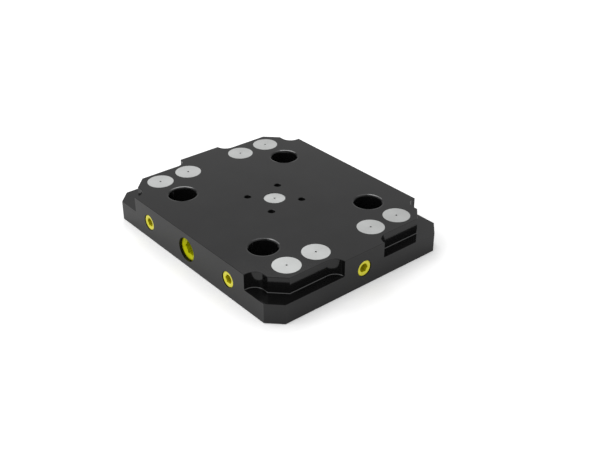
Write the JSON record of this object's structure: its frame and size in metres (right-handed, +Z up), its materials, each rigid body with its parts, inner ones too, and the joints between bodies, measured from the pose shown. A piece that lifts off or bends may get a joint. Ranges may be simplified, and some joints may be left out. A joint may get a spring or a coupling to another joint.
{
  "type": "zero-point pallet",
  "caption": "Flat steel zero-point plate with stud bores on a square grid and one front screw that clamps the studs through a wedge train.",
  "frame": {"origin": "middle of the plate's underside", "axes": "+X along the long side towards the side with the single plug, +Y from the actuating screw towards the rear, +Z up out of the face with the stud bores"},
  "size_m": [0.192, 0.156, 0.027],
  "materials": {
    "plate_black": "satin black oxide on ground steel",
    "cover_aluminium": "fine turned satin",
    "yellow_coat": "glossy yellow plating",
    "hardened_steel": "ground",
    "bush_steel": "oil-blackened turned steel",
    "spring_steel": "drawn wire"
  },
  "bodies": {
    "base": {"pallet_body": "plate_black", "mounting_cover_1": "cover_aluminium", "mounting_cover_2": "cover_aluminium", "mounting_cover_3": "cover_aluminium", "mounting_cover_4": "cover_aluminium", "mounting_cover_5": "cover_aluminium", "mounting_cover_6": "cover_aluminium", "mounting_cover_7": "cover_aluminium", "mounting_cover_8": "cover_aluminium", "centre_cover": "cover_aluminium", "front_plug_left": "yellow_coat", "front_plug_right": "yellow_coat", "side_plug": "yellow_coat", "guide_bush_front_left": "bush_steel", "guide_bush_front_right": "bush_steel", "guide_bush_rear_left": "bush_steel", "guide_bush_rear_right": "bush_steel", "return_spring_front_left": "spring_steel", "return_spring_front_right": "spring_steel", "return_spring_rear_left": "spring_steel", "return_spring_rear_right": "spring_steel"},
    "thrust_cone": {"thrust_cone": "hardened_steel"},
    "actuating_screw": {"actuating_screw": "yellow_coat"},
    "transfer_pin_left": {"transfer_pin_left": "hardened_steel"},
    "transfer_pin_right": {"transfer_pin_right": "hardened_steel"},
    "clamping_piston_front_left": {"clamping_piston_front_left": "hardened_steel"},
    "clamping_piston_front_right": {"clamping_piston_front_right": "hardened_steel"},
    "clamping_piston_rear_left": {"clamping_piston_rear_left": "hardened_steel"},
    "clamping_piston_rear_right": {"clamping_piston_rear_right": "hardened_steel"}
  },
  "joints": [
    {"name": "cone_advance", "type": "slide", "parent": "base", "child": "thrust_cone", "axis": [0, 1, 0], "range_m": [0, 0.006]},
    {"name": "screw_turn", "type": "hinge", "parent": "thrust_cone", "child": "actuating_screw", "pos_m": [0, -0.076, 0.0138], "axis": [0, 1, 0], "range_deg": [0, 1440.01]},
    {"name": "right_pin_slide", "type": "slide", "parent": "base", "child": "transfer_pin_right", "axis": [1, 0, 0], "range_m": [0, 0.00346]},
    {"name": "left_pin_slide", "type": "slide", "parent": "base", "child": "transfer_pin_left", "axis": [-1, 0, 0], "range_m": [0, 0.00346]},
    {"name": "front_left_piston_slide", "type": "slide", "parent": "base", "child": "clamping_piston_front_left", "axis": [0, -1, 0], "range_m": [0, 0.00243], "deforming": ["return_spring_front_left"]},
    {"name": "front_right_piston_slide", "type": "slide", "parent": "base", "child": "clamping_piston_front_right", "axis": [0, -1, 0], "range_m": [0, 0.00243], "deforming": ["return_spring_front_right"]},
    {"name": "rear_left_piston_slide", "type": "slide", "parent": "base", "child": "clamping_piston_rear_left", "axis": [0, 1, 0], "range_m": [0, 0.00243], "deforming": ["return_spring_rear_left"]},
    {"name": "rear_right_piston_slide", "type": "slide", "parent": "base", "child": "clamping_piston_rear_right", "axis": [0, 1, 0], "range_m": [0, 0.00243], "deforming": ["return_spring_rear_right"]}
  ],
  "couplings": [
    {"joint": "screw_turn", "follows": "cone_advance", "rad_per_m": 4188.8},
    {"joint": "right_pin_slide", "follows": "cone_advance", "ratio": 0.57735},
    {"joint": "left_pin_slide", "follows": "cone_advance", "ratio": 0.57735},
    {"joint": "front_left_piston_slide", "follows": "cone_advance", "ratio": 0.40427},
    {"joint": "front_right_piston_slide", "follows": "cone_advance", "ratio": 0.40427},
    {"joint": "rear_left_piston_slide", "follows": "cone_advance", "ratio": 0.40427},
    {"joint": "rear_right_piston_slide", "follows": "cone_advance", "ratio": 0.40427}
  ]
}
